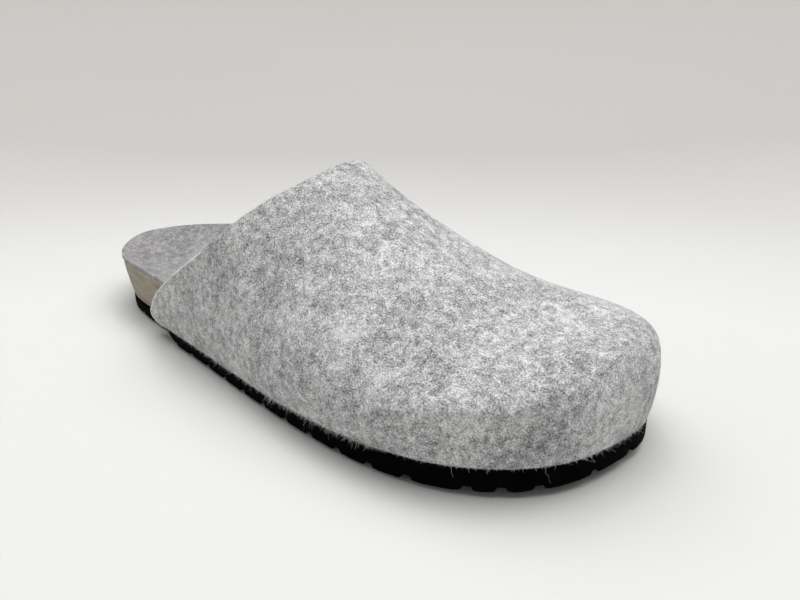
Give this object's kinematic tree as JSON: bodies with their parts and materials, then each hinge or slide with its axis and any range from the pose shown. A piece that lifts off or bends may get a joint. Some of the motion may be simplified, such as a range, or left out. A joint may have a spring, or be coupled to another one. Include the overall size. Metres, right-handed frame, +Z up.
{
  "type": "clog",
  "caption": "Right-foot felt clog: a hollow one-piece felt vamp over a dished footbed with a felt insole, on a black lugged foam sole with slight toe spring.",
  "frame": {"origin": "middle of the bounding box in plan, on the floor plane under the sole", "axes": "+X from heel to toe, +Y to the inner side of the foot, +Z up"},
  "size_m": [0.2726, 0.108, 0.0823],
  "materials": {
    "tread_sole": "matt black moulded foam rubber",
    "footbed_block": "sealed cork and latex moulding, greige, matt",
    "insole_felt": "smooth pressed grey felt",
    "upper_felt": "light grey melange needle felt, matt and slightly fuzzy"
  },
  "bodies": {
    "root": {"outsole": "tread_sole", "footbed": "footbed_block", "insole": "insole_felt", "upper": "upper_felt"}
  },
  "joints": []
}
